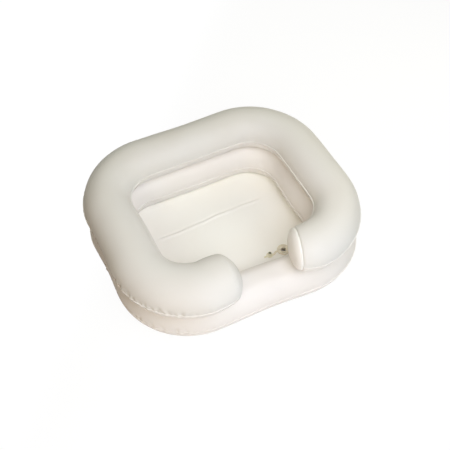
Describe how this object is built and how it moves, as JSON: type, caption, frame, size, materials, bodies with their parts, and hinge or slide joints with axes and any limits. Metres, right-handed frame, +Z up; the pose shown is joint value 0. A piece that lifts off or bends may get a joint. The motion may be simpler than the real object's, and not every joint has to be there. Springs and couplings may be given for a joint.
{
  "type": "portable shampoo basin",
  "caption": "Inflatable film basin: a closed lower air tube, a C-shaped upper tube with a neck gap, a film floor and a drain with a tethered stopper.",
  "frame": {"origin": "bottom centre, on the ground under the middle of the basin", "axes": "+Z up, +X along the long side to the right as seen from the neck gap, -Y towards the person, out through the neck gap"},
  "size_m": [0.6214, 0.5348, 0.1978],
  "materials": {
    "ivory_film": "satin ivory PVC film",
    "beige_fitting": "soft translucent beige PVC",
    "clear_flap": "thin clear PVC"
  },
  "bodies": {
    "basin": {"lower_bottom_sheet": "ivory_film", "lower_top_sheet": "ivory_film", "upper_bottom_sheet": "ivory_film", "upper_top_sheet": "ivory_film", "left_end_cap": "ivory_film", "right_end_cap": "ivory_film", "floor_sheet": "ivory_film", "floor_weld_band": "ivory_film", "drain_flange": "beige_fitting", "drain_spigot": "beige_fitting", "drain_strap_root": "beige_fitting", "upper_valve_flange": "beige_fitting", "lower_valve_flange": "beige_fitting"},
    "drain_stopper": {"drain_stopper": "beige_fitting", "drain_strap_tip": "beige_fitting"},
    "upper_valve_stem": {"upper_valve_stem": "beige_fitting", "upper_valve_strap_root": "beige_fitting"},
    "upper_valve_plug": {"upper_valve_plug": "beige_fitting", "upper_valve_strap_tip": "beige_fitting"},
    "upper_valve_flap": {"upper_valve_flap": "clear_flap"},
    "lower_valve_stem": {"lower_valve_stem": "beige_fitting", "lower_valve_strap_root": "beige_fitting"},
    "lower_valve_plug": {"lower_valve_plug": "beige_fitting", "lower_valve_strap_tip": "beige_fitting"},
    "lower_valve_flap": {"lower_valve_flap": "clear_flap"}
  },
  "joints": [
    {"name": "drain_stopper_flip", "type": "hinge", "parent": "basin", "child": "drain_stopper", "pos_m": [0.10225, -0.1065, 0.01485], "axis": [0, 1, 0], "range_deg": [0, 180]},
    {"name": "upper_valve_pull", "type": "slide", "parent": "basin", "child": "upper_valve_stem", "axis": [0.0308, 0.818, -0.5744], "range_m": [0, 0.009]},
    {"name": "upper_valve_plug_open", "type": "hinge", "parent": "upper_valve_stem", "child": "upper_valve_plug", "pos_m": [-0.06951, 0.25623, 0.11852], "axis": [0.0216, 0.574, 0.8186], "range_deg": [0, 165]},
    {"name": "upper_valve_flap_open", "type": "hinge", "parent": "upper_valve_stem", "child": "upper_valve_flap", "pos_m": [-0.06423, 0.24247, 0.12803], "axis": [-0.0216, -0.574, -0.8186], "range_deg": [0, 40]},
    {"name": "lower_valve_pull", "type": "slide", "parent": "basin", "child": "lower_valve_stem", "axis": [-0.0362, 0.8455, 0.5328], "range_m": [0, 0.009]},
    {"name": "lower_valve_plug_open", "type": "hinge", "parent": "lower_valve_stem", "child": "lower_valve_plug", "pos_m": [0.04972, 0.24795, 0.08364], "axis": [0.0228, -0.5323, 0.8463], "range_deg": [0, 165]},
    {"name": "lower_valve_flap_open", "type": "hinge", "parent": "lower_valve_stem", "child": "lower_valve_flap", "pos_m": [0.05612, 0.2342, 0.07482], "axis": [-0.0228, 0.5323, -0.8463], "range_deg": [0, 40]}
  ]
}
